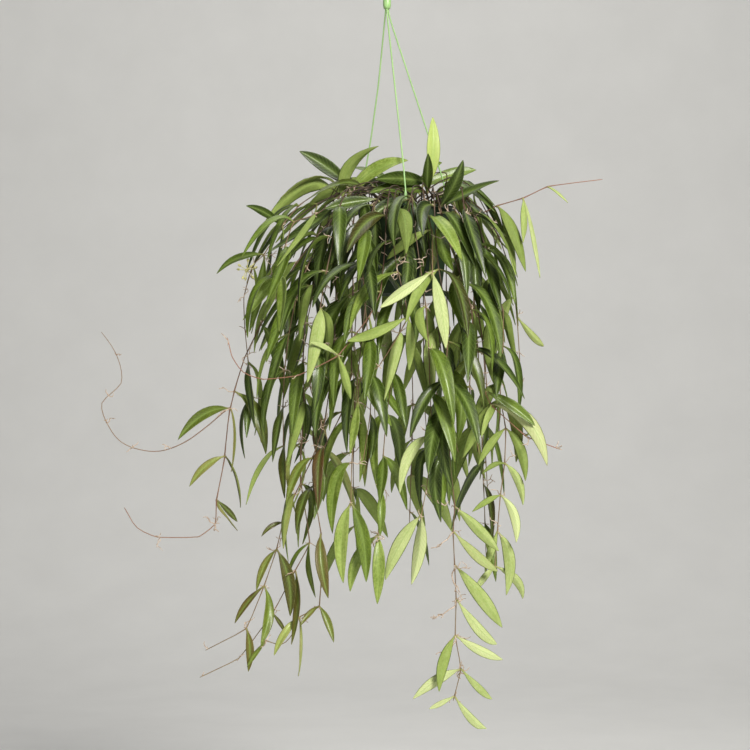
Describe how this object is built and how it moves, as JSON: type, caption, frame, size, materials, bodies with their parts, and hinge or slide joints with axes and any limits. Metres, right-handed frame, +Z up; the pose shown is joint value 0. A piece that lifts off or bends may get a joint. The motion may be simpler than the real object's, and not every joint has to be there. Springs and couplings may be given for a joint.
{
  "type": "potted hoya",
  "caption": "Narrow-leaved trailing hoya in a round hanging pot, carried by a plastic hook and three thin strands.",
  "frame": {"origin": "seat of the hook: the highest point inside its crook, where a rail carries the weight", "axes": "+Z up along the hook's shank, +X to the right in the front view, +Y to the back"},
  "size_m": [0.665, 0.4155, 1.0143],
  "materials": {
    "pot_plastic": "smooth dark green",
    "hanger_plastic": "satin light green",
    "soil": "rough dark potting bark",
    "foliage": "waxy green leaves on brown stems",
    "flower": "waxy cream buds"
  },
  "bodies": {
    "root": {"pot": "pot_plastic", "soil": "soil", "hanger_hook": "hanger_plastic", "hanger_strand_front": "hanger_plastic", "hanger_strand_left": "hanger_plastic", "hanger_strand_right": "hanger_plastic", "flower_umbel": "flower", "trail_00": "foliage", "trail_01": "foliage", "trail_02": "foliage", "trail_03": "foliage", "trail_04": "foliage", "trail_05": "foliage", "trail_06": "foliage", "trail_07": "foliage", "trail_08": "foliage", "trail_09": "foliage", "trail_10": "foliage", "trail_11": "foliage", "trail_12": "foliage", "trail_13": "foliage", "trail_14": "foliage", "trail_15": "foliage", "trail_16": "foliage", "trail_17": "foliage", "trail_18": "foliage", "trail_19": "foliage", "trail_20": "foliage", "trail_21": "foliage", "trail_22": "foliage", "trail_23": "foliage", "trail_24": "foliage", "trail_25": "foliage", "trail_26": "foliage", "trail_27": "foliage", "trail_28": "foliage", "trail_29": "foliage", "trail_30": "foliage", "trail_31": "foliage", "trail_32": "foliage", "trail_33": "foliage", "trail_34": "foliage", "trail_35": "foliage", "trail_36": "foliage", "trail_37": "foliage", "trail_38": "foliage", "trail_39": "foliage", "trail_40": "foliage", "trail_41": "foliage", "trail_42": "foliage", "trail_43": "foliage", "trail_44": "foliage", "trail_45": "foliage", "trail_46": "foliage", "trail_47": "foliage"}
  },
  "joints": []
}
